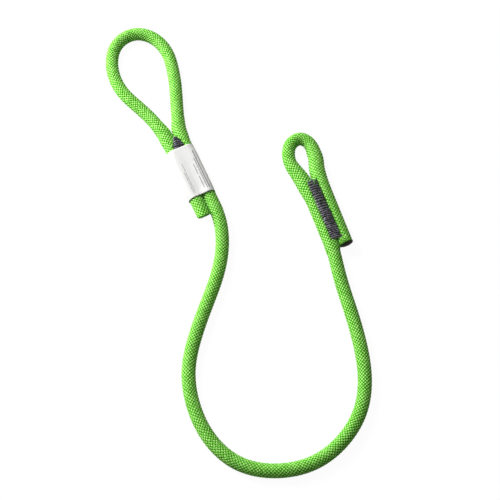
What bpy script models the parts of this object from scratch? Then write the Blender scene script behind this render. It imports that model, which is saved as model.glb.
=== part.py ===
"""Self-belay lanyard: one length of dynamic rope with a sewn eye at each end, laid down flat.

Metres, +Z up, floor at z = 0. The long side of the layout lies along Y and the origin is the
middle of its footprint. Run with: blender --background --python part.py
"""
import math

import bmesh
import bpy
import numpy as np
from mathutils import Matrix, Vector

MM = 0.001
NAME = "self_belay_lanyard"

# Rope
ROPE_DIAMETER = 9.8 * MM
SHEATH_WALL = 1.3 * MM
CORE_STRANDS_AROUND = 6
BIG_TAIL_LENGTH = 10.5 * MM
SMALL_TAIL_LENGTH = 5.2 * MM
SEAL_THICKNESS = 1.2 * MM
SEAL_DOME = 0.9 * MM
SEAL_EDGE_HEIGHT = 0.7 * MM
SEAL_PLUG_LENGTH = 2.5 * MM

# Sewing
THREAD_DIAMETER = 1.2 * MM
STITCH_WIDTH = 7.8 * MM
STITCH_PASSES = 24
STITCH_CROWN = 0.4 * MM
SMALL_SEAM_LENGTH = 49.0 * MM
BIG_SEAM_LENGTH = 47.5 * MM
BIG_SEAM_ABOVE_LABEL = 8.5 * MM
TAPERED_PASSES = 4

# Label sleeve
LABEL_LENGTH = 40.4 * MM
LABEL_WALL = 0.5 * MM

# Clearances
FIT_GAP = 0.3 * MM
STRAND_GAP = 0.5 * MM

# Resting
REST_FLAT_DEPTH = 0.98 * MM
SETTLE_LENGTH = 45.0 * MM

# Where the two sewn zones lie on the table, and how far each is turned from the Y axis
BIG_SEAM_PLACE = (-43.8 * MM, 58.3 * MM)
BIG_SEAM_TURN = math.radians(24.2)
SMALL_SEAM_PLACE = (54.4 * MM, 28.8 * MM)
SMALL_SEAM_TURN = math.radians(19.8)
BIG_STRAIGHT = 24.0 * MM
SMALL_STRAIGHT = 18.0 * MM
SMALL_STRAIGHT_BELOW = 22.0 * MM
PAST_TAIL = 3.0 * MM

# Hand-chosen points of the rope's middle line, in millimetres. In an eye, the first number is the
# distance from the middle of its sewn zone towards its tip, and the second is the distance to the right.
BIG_EYE_POINTS = [
    (33, -5.7), (44, -6.8), (57, -9.5), (71.2, -14.8), (86, -20.1), (101.5, -21.3), (117.4, -17.2),
    (129.3, -7.1), (131.4, 8), (122.4, 19.3), (106.1, 24.2), (90, 22.4), (74.5, 18.3),
    (59.5, 13.1), (44, 8.5), (33, 6.5),
]
SMALL_EYE_POINTS = [
    (25, -6.3), (32, -8.1), (42, -9.8), (52.4, -8.9), (60.6, -4),
    (62.4, 4.4), (56.5, 9.1), (48, 9.8), (40, 8.8), (32, 7.3), (25, 5.9),
]
LEG_POINTS = [
    (-20.8, 12), (-21.2, -7), (-24.6, -23), (-31.9, -45), (-39.1, -68), (-42.8, -92),
    (-38.6, -117), (-28, -138), (-8, -155.2), (18, -160.2), (43, -154.5), (62.3, -139.8),
    (75, -119), (78.8, -95), (76.4, -72), (70.3, -46), (63.4, -20),
]

# How finely the faceted tubes follow the rope
LONGEST_STEP = 24.0 * MM
LARGEST_TURN = math.radians(13.5)
SPAN_STEPS = 24
SHEATH_RESOLUTION = 4
BORE_RESOLUTION = 2
STRAND_RESOLUTION = 1
THREAD_RESOLUTION = 1
CROWNED_PASS_POINTS = 5
SEAL_SIDES = 16
LABEL_ARC_STEPS = 12
WELD_DISTANCE = 0.01 * MM

# Two points of a thread are compared when they lie this many diameters apart along it
COMPARED_FROM = 3.2

# The dome of a melted end, as (share of the rope's radius, share of the dome's height)
SEAL_DOME_SHAPE = [(0, 1), (0.5, 0.8), (0.85, 0.25)]

# Worked out from the sizes above
ROPE_RADIUS = ROPE_DIAMETER / 2
THREAD_RADIUS = THREAD_DIAMETER / 2
HALF_SPACING = (ROPE_DIAMETER + STRAND_GAP) / 2
BORE_SIDES = 4 + 2 * BORE_RESOLUTION
BORE_RADIUS = ROPE_RADIUS - SHEATH_WALL
BORE_FLAT_RADIUS = BORE_RADIUS * math.cos(math.pi / BORE_SIDES)
STRAND_RADIUS = (BORE_FLAT_RADIUS - 2 * FIT_GAP) / 3
STITCH_REACH = (STITCH_WIDTH - THREAD_DIAMETER) / 2
STITCH_HEIGHT = math.sqrt(
    (ROPE_RADIUS + FIT_GAP + THREAD_RADIUS) ** 2 - (HALF_SPACING - STITCH_REACH) ** 2
)
LABEL_BORE_HALF_HEIGHT = max(STITCH_HEIGHT + THREAD_RADIUS, ROPE_RADIUS) + FIT_GAP
LABEL_BORE_HALF_WIDTH = HALF_SPACING + ROPE_RADIUS + FIT_GAP
REST_HEIGHT = ROPE_RADIUS - REST_FLAT_DEPTH
BIG_SEAM_HEIGHT = LABEL_BORE_HALF_HEIGHT + LABEL_WALL
SMALL_SEAM_HEIGHT = max(STITCH_HEIGHT + THREAD_RADIUS, ROPE_RADIUS)


class SewnZone:
    """Turns (distance towards the eye's tip, distance to the right) into places on the table."""

    def __init__(self, place, turn, height):
        self.place = np.array(place)
        self.tipward = np.array((-math.sin(turn), math.cos(turn)))
        self.right = np.array((math.cos(turn), math.sin(turn)))
        self.height = height

    def plan(self, tipward, right):
        return self.place + tipward * self.tipward + right * self.right

    def place_at(self, tipward, right, above):
        return np.append(self.plan(tipward, right), self.height + above)


BIG_ZONE = SewnZone(BIG_SEAM_PLACE, BIG_SEAM_TURN, BIG_SEAM_HEIGHT)
SMALL_ZONE = SewnZone(SMALL_SEAM_PLACE, SMALL_SEAM_TURN, SMALL_SEAM_HEIGHT)


def clear_scene():
    for old in list(bpy.data.objects):
        bpy.data.objects.remove(old, do_unlink=True)


def new_collection(name):
    made = bpy.data.collections.new(name)
    bpy.context.scene.collection.children.link(made)
    return made


def new_material(name, colour, roughness):
    made = bpy.data.materials.new(name)
    made.use_nodes = True
    shader = made.node_tree.nodes["Principled BSDF"]
    shader.inputs["Base Color"].default_value = (*colour, 1.0)
    shader.inputs["Roughness"].default_value = roughness
    shader.inputs["Metallic"].default_value = 0.0
    return made


def smooth_curve(points, first_way, last_way):
    """Close points on the cubic spline through the given ones, with its two end directions set."""
    spots = np.array(points, float)
    spans = np.linalg.norm(np.diff(spots, axis=0), axis=1)
    count = len(spots)
    system = np.eye(count)
    wanted = np.zeros_like(spots)
    wanted[0] = first_way
    wanted[-1] = last_way
    for i in range(1, count - 1):
        before, after = spans[i - 1], spans[i]
        system[i, i - 1 : i + 2] = (1 / before, 2 / before + 2 / after, 1 / after)
        rise_before = (spots[i] - spots[i - 1]) / before**2
        rise_after = (spots[i + 1] - spots[i]) / after**2
        wanted[i] = 3 * (rise_before + rise_after)
    slopes = np.linalg.solve(system, wanted)
    line = [spots[0]]
    for i, span in enumerate(spans):
        for t in np.arange(1, SPAN_STEPS + 1) / SPAN_STEPS:
            start_share = 2 * t**3 - 3 * t**2 + 1
            start_pull = span * (t**3 - 2 * t**2 + t)
            end_pull = span * (t**3 - t**2)
            line.append(
                start_share * spots[i]
                + (1 - start_share) * spots[i + 1]
                + start_pull * slopes[i]
                + end_pull * slopes[i + 1]
            )
    return np.array(line)


def eased(share):
    share = np.clip(share, 0, 1)
    return share * share * (3 - 2 * share)


def lay_down(plan, start_height, end_height):
    """Gives a stretch its heights: it sinks from each end to the floor within the settle length."""
    along = np.append(0, np.cumsum(np.linalg.norm(np.diff(plan, axis=0), axis=1)))
    from_start = 1 - eased(along / SETTLE_LENGTH)
    from_end = 1 - eased((along[-1] - along) / SETTLE_LENGTH)
    heights = REST_HEIGHT + from_start * (start_height - REST_HEIGHT) + from_end * (end_height - REST_HEIGHT)
    return np.column_stack((plan, heights))


def eye_stretch(zone, points, straight):
    """The free loop of an eye, from its left strand round the tip to its right strand."""
    ends = [(straight, -HALF_SPACING), (straight, HALF_SPACING)]
    inner = [(tipward * MM, right * MM) for tipward, right in points]
    plan = [zone.plan(*spot) for spot in (ends[0], *inner, ends[1])]
    line = smooth_curve(plan, zone.tipward, -zone.tipward)
    return lay_down(line, zone.height, zone.height)


def rope_line():
    """The rope's middle line, from the cut end at the big eye to the sealed end at the small eye."""
    big_end = LABEL_LENGTH / 2 + BIG_TAIL_LENGTH
    small_end = SMALL_SEAM_LENGTH / 2 + SMALL_TAIL_LENGTH
    big_tail = [BIG_ZONE.place_at(-big_end, -HALF_SPACING, 0)]
    big_eye = eye_stretch(BIG_ZONE, BIG_EYE_POINTS, BIG_STRAIGHT)
    leg_start = BIG_ZONE.plan(-big_end - PAST_TAIL, HALF_SPACING)
    leg_end = SMALL_ZONE.plan(-SMALL_STRAIGHT_BELOW, -HALF_SPACING)
    leg_plan = [leg_start, *(np.array(spot) * MM for spot in LEG_POINTS), leg_end]
    leg = smooth_curve(leg_plan, -BIG_ZONE.tipward, SMALL_ZONE.tipward)
    leg = lay_down(leg, BIG_ZONE.height, SMALL_ZONE.height)
    small_eye = eye_stretch(SMALL_ZONE, SMALL_EYE_POINTS, SMALL_STRAIGHT)
    small_tail = [SMALL_ZONE.place_at(-small_end, HALF_SPACING, 0)]
    return np.vstack((big_tail, big_eye, leg, small_eye, small_tail))


def chosen_stations(line):
    """Picks the points of the close line where the faceted tube gets a ring."""
    ways = np.diff(line, axis=0)
    steps = np.linalg.norm(ways, axis=1)
    ways = ways / steps[:, None]
    kept = [0]
    run = 0.0
    for i in range(1, len(line) - 1):
        run += steps[i - 1]
        turned = math.acos(min(1.0, float(ways[i] @ ways[kept[-1]])))
        if turned >= LARGEST_TURN or run + steps[i] > LONGEST_STEP:
            kept.append(i)
            run = 0.0
    return np.vstack((line[kept], line[-1]))


def extra_stations(line):
    """Splits the long straight stretches, so that no step is over the longest one."""
    split = [line[0]]
    for before, after in zip(line[:-1], line[1:]):
        pieces = math.ceil(float(np.linalg.norm(after - before)) / LONGEST_STEP)
        split += [before + (after - before) * k / pieces for k in range(1, pieces + 1)]
    return np.array(split)


def station_frames(stations):
    """The direction, the right side and the upper side of the rope at each station."""
    ways = np.diff(stations, axis=0)
    ways = ways / np.linalg.norm(ways, axis=1)[:, None]
    along = np.vstack((ways[:1], ways[:-1] + ways[1:], ways[-1:]))
    along = along / np.linalg.norm(along, axis=1)[:, None]
    right = np.cross(along, (0, 0, 1))
    right = right / np.linalg.norm(right, axis=1)[:, None]
    return along, right, np.cross(right, along)


def tube(name, points, radius, resolution, collection, material, half_turn=True):
    """A round tube with filled caps. Half a side of turn puts a flat side at its bottom."""
    curve = bpy.data.curves.new(name, "CURVE")
    curve.dimensions = "3D"
    curve.twist_mode = "Z_UP"
    curve.bevel_depth = radius
    curve.bevel_resolution = resolution
    curve.use_fill_caps = True
    spline = curve.splines.new("POLY")
    spline.points.add(len(points) - 1)
    for spot, place in zip(spline.points, points):
        spot.co = (*place, 1.0)
        spot.tilt = math.pi / (4 + 2 * resolution) if half_turn else 0.0
    made = bpy.data.objects.new(name, curve)
    collection.objects.link(made)
    curve.materials.append(material)
    return made


def as_mesh(curve_object):
    """The same tube as a mesh object with welded caps, which a Boolean can work on."""
    name = curve_object.name
    bpy.context.view_layer.update()
    shown = curve_object.evaluated_get(bpy.context.evaluated_depsgraph_get())
    mesh = bpy.data.meshes.new_from_object(shown)
    work = bmesh.new()
    work.from_mesh(mesh)
    bmesh.ops.remove_doubles(work, verts=work.verts, dist=WELD_DISTANCE)
    bmesh.ops.recalc_face_normals(work, faces=work.faces)
    work.to_mesh(mesh)
    work.free()
    made = bpy.data.objects.new(name, mesh)
    made.matrix_world = curve_object.matrix_world.copy()
    curve_object.users_collection[0].objects.link(made)
    bpy.data.objects.remove(curve_object, do_unlink=True)
    made.name = name
    return made


def cut(target, cutter):
    cutter.hide_render = True
    cutter.display_type = "WIRE"
    step = target.modifiers.new(cutter.name, "BOOLEAN")
    step.operation = "DIFFERENCE"
    step.object = cutter


def floor_block(stations, cutters):
    """Everything under the floor, wide enough to pass under the whole layout."""
    low = stations.min(axis=0) - ROPE_DIAMETER
    high = stations.max(axis=0) + ROPE_DIAMETER
    bpy.ops.mesh.primitive_cube_add(size=1.0)
    block = bpy.context.object
    block.name = "under_floor"
    for home in list(block.users_collection):
        home.objects.unlink(block)
    cutters.objects.link(block)
    size = (high[0] - low[0], high[1] - low[1], ROPE_DIAMETER)
    middle = ((high[0] + low[0]) / 2, (high[1] + low[1]) / 2, -ROPE_DIAMETER / 2)
    block.data.transform(Matrix.Translation(middle) @ Matrix.Diagonal((*size, 1.0)))
    return block


def rope_sheath(stations, parts, cutters, material):
    """The braided cover: a hollow tube, open at both cut ends, with a flat where it rests."""
    sheath = as_mesh(tube("rope_sheath", stations, ROPE_RADIUS, SHEATH_RESOLUTION, parts, material))
    along = station_frames(stations)[0]
    longer = stations.copy()
    longer[0] -= along[0] * ROPE_RADIUS
    longer[-1] += along[-1] * ROPE_RADIUS
    bore = as_mesh(tube("sheath_bore", longer, BORE_RADIUS, BORE_RESOLUTION, cutters, material))
    cut(sheath, bore)
    cut(sheath, floor_block(stations, cutters))
    return sheath


def core_strands(stations, parts, material):
    """Parallel core strands: one in the middle and a ring around it, short of the sealed ends."""
    along, right, up = station_frames(stations)
    line = stations.copy()
    inset = SEAL_PLUG_LENGTH + FIT_GAP
    line[0] += along[0] * inset
    line[-1] -= along[-1] * inset
    tube("core_strand_1", line, STRAND_RADIUS, STRAND_RESOLUTION, parts, material, half_turn=False)
    ring_radius = 2 * STRAND_RADIUS + FIT_GAP
    for k in range(CORE_STRANDS_AROUND):
        angle = 2 * math.pi * k / CORE_STRANDS_AROUND
        beside = line + ring_radius * (math.cos(angle) * right + math.sin(angle) * up)
        tube(f"core_strand_{k + 2}", beside, STRAND_RADIUS, STRAND_RESOLUTION, parts, material, half_turn=False)


def end_seal(name, end, outward, parts, material):
    """The melted rope end: a low dome over the cut face, with a plug where the core is fused."""
    plug = BORE_FLAT_RADIUS - FIT_GAP
    depth = SEAL_PLUG_LENGTH + FIT_GAP
    dome = [(share * ROPE_RADIUS, SEAL_THICKNESS + rise * SEAL_DOME) for share, rise in SEAL_DOME_SHAPE]
    skirt = [(ROPE_RADIUS, SEAL_EDGE_HEIGHT), (ROPE_RADIUS, 0), (plug, 0), (plug, -depth), (0, -depth)]
    profile = dome + skirt
    mesh = bpy.data.meshes.new(name)
    edges = [(i, i + 1) for i in range(len(profile) - 1)]
    mesh.from_pydata([(x, 0, z) for x, z in profile], edges, [])
    made = bpy.data.objects.new(name, mesh)
    mesh.materials.append(material)
    parts.objects.link(made)
    turn = made.modifiers.new("turned", "SCREW")
    turn.steps = SEAL_SIDES
    turn.render_steps = SEAL_SIDES
    turn.use_merge_vertices = True
    turn.merge_threshold = WELD_DISTANCE
    made.rotation_mode = "QUATERNION"
    made.rotation_quaternion = Vector(outward).to_track_quat("Z", "Y")
    made.location = Vector(end) + Vector(outward) * FIT_GAP
    return made


def least_gap(points, diameter):
    """How near the thread comes to itself, measured on close points at least a pass apart."""
    close = [points[0]]
    for before, after in zip(points[:-1], points[1:]):
        close += [before + (after - before) * k / 4 for k in range(1, 5)]
    close = np.array(close)
    along = np.append(0, np.cumsum(np.linalg.norm(np.diff(close, axis=0), axis=1)))
    apart = np.abs(along[:, None] - along[None, :]) > COMPARED_FROM * diameter
    reach = np.linalg.norm(close[:, None, :] - close[None, :, :], axis=2)
    return float(reach[apart].min()) - diameter


def seam(name, zone, start, length, side, crown, tapered, parts, material):
    """One thread laid to and fro across the two strands, above them or, with side -1, below them."""
    pitch = (length - THREAD_DIAMETER) / (STITCH_PASSES - 1)
    points = []
    for k in range(STITCH_PASSES):
        reach = STITCH_REACH * min(1.0, (k + 1) / (tapered + 1))
        tipward = start - THREAD_RADIUS - k * pitch
        across = np.linspace(-reach, reach, CROWNED_PASS_POINTS if crown else 2)
        if k % 2:
            across = across[::-1]
        for right in across:
            rise = crown * (1 - (right / reach) ** 2)
            points.append(zone.place_at(tipward, right, side * (STITCH_HEIGHT + rise)))
    points = np.array(points)
    print(f"{name}: least gap to itself {least_gap(points, THREAD_DIAMETER) / MM:.2f} mm")
    return tube(name, points, THREAD_RADIUS, THREAD_RESOLUTION, parts, material, half_turn=False)


def stadium(half_width, half_height):
    """The outline of a flat oval with round ends, as points in the section's plane."""
    middle = half_width - half_height
    right_end = [math.pi * (k / LABEL_ARC_STEPS - 0.5) for k in range(LABEL_ARC_STEPS + 1)]
    outline = [(middle + half_height * math.cos(a), half_height * math.sin(a)) for a in right_end]
    outline += [(-x, -y) for x, y in outline]
    return outline


def label_sleeve(zone, parts, material):
    """The shrunk sleeve over the big eye's seam: an oval tube that rests flat on the floor."""
    curve = bpy.data.curves.new("label_sleeve", "CURVE")
    curve.dimensions = "2D"
    curve.fill_mode = "BOTH"
    curve.extrude = LABEL_LENGTH / 2
    inner = stadium(LABEL_BORE_HALF_WIDTH, LABEL_BORE_HALF_HEIGHT)
    outer = stadium(LABEL_BORE_HALF_WIDTH + LABEL_WALL, LABEL_BORE_HALF_HEIGHT + LABEL_WALL)
    for outline in (outer, inner):
        spline = curve.splines.new("POLY")
        spline.points.add(len(outline) - 1)
        for spot, (x, y) in zip(spline.points, outline):
            spot.co = (x, y, 0, 1)
        spline.use_cyclic_u = True
    curve.materials.append(material)
    made = bpy.data.objects.new("label_sleeve", curve)
    parts.objects.link(made)
    right = Vector((*zone.right, 0))
    up = Vector((0, 0, 1))
    turned = Matrix((right, up, right.cross(up))).transposed().to_4x4()
    made.matrix_world = Matrix.Translation(zone.place_at(0, 0, 0)) @ turned
    return made


def centre_layout(parts, cutters, middle):
    """Hangs every part on one empty, which brings the middle of the footprint to the origin."""
    root = bpy.data.objects.new("layout", None)
    parts.objects.link(root)
    for member in [*parts.objects, *cutters.objects]:
        if member is not root:
            member.parent = root
    root.location = (-middle[0], -middle[1], 0)


def build():
    clear_scene()
    parts = new_collection(NAME)
    cutters = new_collection("cutters")
    braid = new_material("green_polyamide_braid", (0.19, 0.60, 0.08), 0.7)
    core = new_material("white_polyamide_core", (0.85, 0.85, 0.82), 0.8)
    melted = new_material("melted_polyamide", (0.05, 0.05, 0.03), 0.4)
    thread = new_material("charcoal_polyester_thread", (0.06, 0.055, 0.07), 0.6)
    film = new_material("white_shrink_film", (0.84, 0.84, 0.84), 0.35)

    stations = extra_stations(chosen_stations(rope_line()))
    along = station_frames(stations)[0]
    rope_sheath(stations, parts, cutters, braid)
    core_strands(stations, parts, core)
    end_seal("big_eye_end_seal", stations[0], -along[0], parts, melted)
    end_seal("small_eye_end_seal", stations[-1], along[-1], parts, melted)

    big_start = LABEL_LENGTH / 2 + BIG_SEAM_ABOVE_LABEL
    small_start = SMALL_SEAM_LENGTH / 2
    seam("big_eye_seam_top", BIG_ZONE, big_start, BIG_SEAM_LENGTH, 1, 0, TAPERED_PASSES, parts, thread)
    seam("big_eye_seam_bottom", BIG_ZONE, big_start, BIG_SEAM_LENGTH, -1, 0, TAPERED_PASSES, parts, thread)
    seam("small_eye_seam_top", SMALL_ZONE, small_start, SMALL_SEAM_LENGTH, 1, STITCH_CROWN, 0, parts, thread)
    seam("small_eye_seam_bottom", SMALL_ZONE, small_start, SMALL_SEAM_LENGTH, -1, 0, 0, parts, thread)
    label_sleeve(BIG_ZONE, parts, film)

    length = float(np.linalg.norm(np.diff(stations, axis=0), axis=1).sum())
    print(f"rope: {len(stations)} rings, {length:.3f} m long")
    centre_layout(parts, cutters, (stations.min(axis=0) + stations.max(axis=0)) / 2)


build()
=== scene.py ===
import math

import bpy
import numpy as np
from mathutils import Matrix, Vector


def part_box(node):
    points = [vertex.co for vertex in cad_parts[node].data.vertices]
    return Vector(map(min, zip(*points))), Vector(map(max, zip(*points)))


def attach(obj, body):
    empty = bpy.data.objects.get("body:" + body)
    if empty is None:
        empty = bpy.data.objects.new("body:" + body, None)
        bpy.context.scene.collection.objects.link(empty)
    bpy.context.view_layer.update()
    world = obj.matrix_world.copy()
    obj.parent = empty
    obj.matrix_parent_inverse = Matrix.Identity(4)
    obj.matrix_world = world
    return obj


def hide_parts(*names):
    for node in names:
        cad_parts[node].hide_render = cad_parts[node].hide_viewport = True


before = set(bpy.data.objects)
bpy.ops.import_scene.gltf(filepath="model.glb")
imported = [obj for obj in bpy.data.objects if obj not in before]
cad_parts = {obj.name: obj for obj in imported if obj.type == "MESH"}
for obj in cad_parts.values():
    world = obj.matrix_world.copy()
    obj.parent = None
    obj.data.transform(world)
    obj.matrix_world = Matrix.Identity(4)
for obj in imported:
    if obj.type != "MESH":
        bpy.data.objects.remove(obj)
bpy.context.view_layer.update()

MM = 0.001
SEED = 7
MATH = "ShaderNodeMath"

# The rope's route, as it lies in the frame
ROPE_DIAMETER = 9.8 * MM
STRAND_GAP = 0.5 * MM
HALF_SPACING = (ROPE_DIAMETER + STRAND_GAP) / 2
BIG_TAIL_LENGTH = 10.5 * MM
SMALL_TAIL_LENGTH = 5.2 * MM
LABEL_LENGTH = 40.4 * MM
SMALL_SEAM_LENGTH = 49.0 * MM
BIG_SEAM_LENGTH = 47.5 * MM
SETTLE_LENGTH = 45.0 * MM
REST_HEIGHT = 3.92 * MM
BIG_SEAM_HEIGHT = 6.2 * MM
SMALL_SEAM_HEIGHT = 5.9 * MM
BIG_SEAM_PLACE = (-43.8 * MM, 58.3 * MM)
BIG_SEAM_TURN = math.radians(24.2)
SMALL_SEAM_PLACE = (54.4 * MM, 28.8 * MM)
SMALL_SEAM_TURN = math.radians(19.8)
BIG_STRAIGHT = 24.0 * MM
SMALL_STRAIGHT = 10.0 * MM
SMALL_STRAIGHT_BELOW = 22.0 * MM
PAST_TAIL = 3.0 * MM
TAIL_LEAN = 0.6 * MM
SPAN_STEPS = 24

# Given points of the rope's middle line, in millimetres. In an eye, the first number is the
# distance from the middle of its sewn zone towards its tip, and the second is the distance to the right.
BIG_EYE_POINTS = [
    (33, -5.4), (39, -5.6), (44, -6.4), (50, -7.8), (57, -9.6), (71.2, -14.8), (86, -20.1),
    (101.5, -21.3), (117.4, -17.2), (129.3, -7.1), (131.4, 8), (122.4, 19.3), (106.1, 24.2),
    (90, 22.4), (74.5, 18.3), (59.5, 13.1), (51, 10.2), (45, 8.1), (40, 6.5), (33, 5.5),
]
SMALL_EYE_POINTS = [
    (16, -5.6), (22, -6.1), (28, -6.6), (33, -7.3), (40, -8.9), (46, -9.7), (52.4, -8.7), (60.3, -3.9),
    (62.4, 4.4), (56.5, 9.5), (48, 9.9), (43, 9.4), (38, 8.0), (34, 6.9), (28, 6.0), (22, 5.5), (16, 5.3),
]
LEG_POINTS = [
    (-20.8, 12), (-21.2, -7), (-24.6, -23), (-31.9, -45), (-39.1, -68), (-42.8, -92),
    (-38.6, -117), (-28, -138), (-8, -155.2), (18, -160.2), (43, -154.5), (62.3, -139.8),
    (75, -119), (78.8, -95), (76.4, -72), (70.3, -46), (63.4, -20),
]

# The braided cover: bands of two yarns, so many going round each way, one over and one under.
# A point between two bands of one way is lowered by that way's share of the gaps' depth.
BANDS = 12
BAND_PITCH = 2.47 * MM
BAND_WIDTH = 1.76 * MM
POINTS_PER_BAND = 3
CROWN_RADIUS = 4.97 * MM
GROOVE_RADIUS = 4.38 * MM
ONE_WAY_GAP = 0.55
OTHER_WAY_GAP = 0.45
SQUEEZED_FROM = 2.4 * MM

# The looks of its yarns: how high and how round they stand, how fast the painted highlight on the crown falls
# off, how much painted shade darkens the split between two yarns, and how far the tones of the bands differ.
# Real filaments are too fine to show, so they are drawn 0.25 mm apart across their band and 0.35 mm along it.
YARN_HEIGHT = 0.28 * MM
YARN_ROUNDNESS = 0.5
ARCH_ROUNDNESS = 0.6
PAINTED_HIGHLIGHT_FALL = 0.9
PAINTED_SPLIT_SHADE = 0.45
YARN_TONES = 0.14
FILAMENTS_ACROSS = 0.25 * MM
FILAMENTS_ALONG = 0.35 * MM
FILAMENT_DEPTH = 0.06

# The sewing: passes to and fro, every other one deeper and shorter, over ropes that it has pulled in
THREAD_RADIUS = 0.62 * MM
PLY_DEPTH = 0.24
PLY_LAY = 4.5 * MM
THREAD_POINTS_ROUND = 15
THREAD_STEP = 0.42 * MM
PASS_POINTS = 15
PASS_SLANT = 0.25 * MM
LEFT_STRAY = (-0.35 * MM, 0.2 * MM)
RIGHT_STRAY = (-0.3 * MM, 0.25 * MM)
TURN_INWARD = 0.3 * MM
TURN_DIVE = 0.9 * MM
SEAM_CROWN = 5.5 * MM
UNDERSIDE_CROWN = 5.05 * MM
UNDER_LABEL_CROWN = 3.75 * MM
LABEL_EDGE_FADE = 2.5 * MM
SEAM_RIDGE = -2.0 * MM
NARROW_SEAM = 4.0 * MM
SEAM_FALL_LEFT = 0.9 * MM
SEAM_FALL_RIGHT = 2.1 * MM
FARTHEST_FALL = 1.15
DEEPER_BY = 1.0 * MM
SHORTER_BY = 0.35 * MM
COARSE_PITCH = 2.08 * MM
FINE_PITCH = 1.62 * MM
PITCH_STRAY = 0.14
CROWN_STRAY = 0.15 * MM
BIG_SEAM_ABOVE_LABEL = 8.5 * MM
BIG_SEAM_FURTHER = 2.9 * MM
BIG_SEAM_TOP = LABEL_LENGTH / 2 + BIG_SEAM_ABOVE_LABEL + BIG_SEAM_FURTHER

# How the ropes are pressed in under it, and out at its sides
UNDER_THREAD = 0.75 * MM
PRESSED_PAST_SEAM = 1.2 * MM
PRESS_FADE = 1.4 * MM
SHOULDER_WIDTH = 1.0 * MM
SHOULDER_RISE = 3.5 * MM
CORE_RADIUS = 3.6 * MM
SEWN_PAIR_REACH = 2.5 * HALF_SPACING
LEAST_CLEARANCE = 0.01 * MM
FULLY_PRESSED = 0.04

# How far the sewing reaches, in millimetres: distance towards the eye's tip, reach to the left and the right
BIG_SEAM_REACHES = [(-20, 4.9, 4.7), (21, 4.6, 4.7), (24.5, 3.9, 4.4), (31.5, 0.8, 1.6)]
SMALL_SEAM_REACHES = [
    (-24.5, 4.6, 5.3), (-22.6, 4.5, 3.0), (-16, 4.5, 3.3), (-4, 4.7, 3.1), (5, 4.9, 2.8),
    (14, 4.7, 2.8), (24.5, 4.8, 2.7),
]

# Sewn ropes are pressed wider: millimetres towards the eye's tip, added shares for the left and the right one
BIG_WIDER = [
    (-38, 0, 0), (-34, 0.06, 0.06), (27, 0.06, 0.06), (32, 0.16, 0.16), (40, 0.16, 0.16), (50, 0, 0),
]
SMALL_WIDER = [
    (-34, 0, 0), (-30, 0.12, 0.17), (8, 0.12, 0.17), (14, 0.16, 0.17), (21, 0.27, 0.19), (30, 0.27, 0.24),
    (38, 0.14, 0.22), (46, 0, 0.15), (57, 0, 0),
]

# The looks of the thread: fine flecks, nine round it and 2.6 to a millimetre, slanting as its filaments do,
# and random light and dark patches about 2.4 mm long, whose light ones are painted glints
FLECKS_ROUND_THREAD = 9.0
FLECK_LENGTH = MM / 2.6
FLECK_SLANT = math.radians(20)
GLINT_PATCH = MM / 0.42
GLINT_STRENGTH = 1.2
GLINT_LEVEL = -0.62

# The looks of the core: plies of its yarns. A wave texture repeats at this length when its scale is one.
CORE_PLY_WIDTH = 0.7854 * MM
WAVE_LENGTH = 2 * math.pi / 20

# The label: film over the ropes, squarer and flatter between its mouths. Under the height of its foot it is
# flattened to a share of its depth, so that it lies on the floor.
LABEL_TOP = 21.6 * MM
LABEL_BOTTOM = -20.2 * MM
LABEL_ROWS = 61
LABEL_COLUMNS = 96
LABEL_OVER_ROPE = 0.2 * MM
LABEL_FILM = 0.35 * MM
LABEL_OUTER = ROPE_DIAMETER / 2 + LABEL_OVER_ROPE + LABEL_FILM
LABEL_ROUND_SHARE = 2 * LABEL_OUTER * math.pi / (LABEL_OUTER * 2 * math.pi + 4 * HALF_SPACING)
LABEL_DIP_TOP = 0.05 * MM
LABEL_DIP_BOTTOM = 0.4 * MM
LABEL_FOOT = 0.1 * MM
LABEL_FOOT_GIVE = 0.2
LABEL_SQUARENESS = 3.4
MOUTH_SQUARENESS = 2.05
MOUTH_LENGTH = 9.0 * MM
LOWER_FLARE = 0.7 * MM
LOWER_FLARE_LENGTH = 7.0 * MM
UPPER_FLARE = 0.1 * MM
UPPER_FLARE_LENGTH = 2.5 * MM
FLARE_AT_MIDDLE = 0.45
RIPPLE_SPACING = 6.25 * MM

# Plain grey rules on it: millimetres to the right of its middle, start and end from its middle, width
LABEL_RULES = [
    (7.5, -17.0, 15.5, 0.9),
    (6.1, -17.5, 9.5, 0.6),
    (3.9, -16.5, -6.0, 0.6),
    (3.9, -4.0, 5.0, 0.6),
    (-3.9, -18.0, 8.0, 0.4),
    (-5.0, -18.0, 1.5, 0.4),
]

# Where the film's underside lies in its material, far from every rule
NO_RULE = -1.0

# The ends of the rope: the cover closes over the big eye's end, and the other has a dark lip. The lumps
# of a melted end go sideways by a share of its radius, and outward by millimetres.
CLOSED_END_LENGTH = 1.3 * MM
CLOSED_END_SHARE = 0.84
CLOSED_END_BEYOND = 4.4 * MM
CLOSED_END_SLANT = 1.8 * MM
SLANT_FADE = 9.0 * MM
UNDER_LIP_SHARE = 0.08
UNDER_LIP_LENGTH = 3.6 * MM
END_COLUMNS = 48
END_LUMPS = 5
LUMP_SIDEWAYS = 0.5
LUMP_OUTWARD = 4.0
PIT_SPACING = MM / 0.9
SCORCH_START = -0.9 * MM
SCORCH_END = 0.7 * MM
SCORCH_SHARE = 0.8
PIT_SHARE = 0.5

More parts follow.
